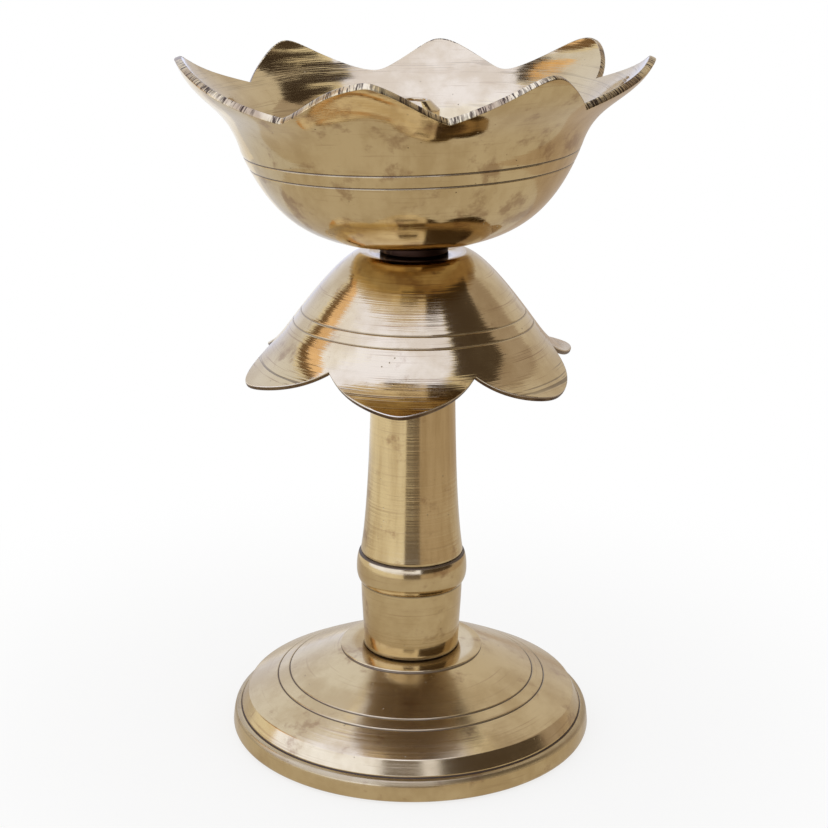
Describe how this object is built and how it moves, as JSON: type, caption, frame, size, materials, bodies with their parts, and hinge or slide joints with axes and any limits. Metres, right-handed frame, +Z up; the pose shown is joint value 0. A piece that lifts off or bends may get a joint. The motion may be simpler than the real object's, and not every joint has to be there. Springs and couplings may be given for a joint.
{
  "type": "standing diya",
  "caption": "Turned brass oil lamp: petalled bowl with a wick holder over a petalled skirt, on a tapered column screwed into a round stepped base.",
  "frame": {"origin": "centre of the ring that the base rests on, at ground level", "axes": "+Z up along the turning axis; the front seen in the picture looks along -Y, +X is to its right"},
  "size_m": [0.0781, 0.0779, 0.1205],
  "materials": {
    "polished_brass": "polished, with fine turning lines",
    "turned_brass": "turned, with circular tool lines",
    "cast_brass": "cast and turned, satin",
    "rod_brass": "threaded rod",
    "screw_steel": "plain steel"
  },
  "bodies": {
    "base": {"base_foot": "cast_brass", "base_washer": "screw_steel", "base_screw": "screw_steel", "stem_socket": "turned_brass"},
    "column_stud": {"column_stud": "rod_brass"},
    "column": {"stem_column": "turned_brass"},
    "skirt": {"petal_skirt": "turned_brass"},
    "bowl_stud": {"bowl_stud": "rod_brass"},
    "bowl": {"oil_bowl": "polished_brass", "neck_ring": "cast_brass"},
    "washer": {"sealing_washer": "turned_brass"},
    "wick_holder": {"wick_holder": "polished_brass"}
  },
  "joints": [
    {"name": "column_stud_rise", "type": "slide", "parent": "base", "child": "column_stud", "axis": [0, 0, 1], "range_m": [0, 0.00762]},
    {"name": "column_unscrew", "type": "hinge", "parent": "column_stud", "child": "column", "pos_m": [0, 0, 0.0329], "axis": [0, 0, 1], "range_deg": [0, 2160]},
    {"name": "skirt_swivel", "type": "hinge", "parent": "column", "child": "skirt", "pos_m": [0, 0, 0.0856], "axis": [0, 0, 1], "continuous": true},
    {"name": "bowl_stud_rise", "type": "slide", "parent": "column", "child": "bowl_stud", "axis": [0, 0, 1], "range_m": [0, 0.00847]},
    {"name": "bowl_unscrew", "type": "hinge", "parent": "bowl_stud", "child": "bowl", "pos_m": [0, 0, 0.0869], "axis": [0, 0, 1], "range_deg": [0, 2880]},
    {"name": "washer_rise", "type": "slide", "parent": "bowl", "child": "washer", "axis": [0, 0, 1], "range_m": [0, 0.00423]},
    {"name": "wick_holder_unscrew", "type": "hinge", "parent": "washer", "child": "wick_holder", "pos_m": [0, 0, 0.0907], "axis": [0, 0, 1], "range_deg": [0, 1440]}
  ],
  "couplings": [
    {"joint": "column_unscrew", "follows": "column_stud_rise", "rad_per_m": 4947.3},
    {"joint": "bowl_unscrew", "follows": "bowl_stud_rise", "rad_per_m": 5936.8},
    {"joint": "wick_holder_unscrew", "follows": "washer_rise", "rad_per_m": 5936.8}
  ]
}
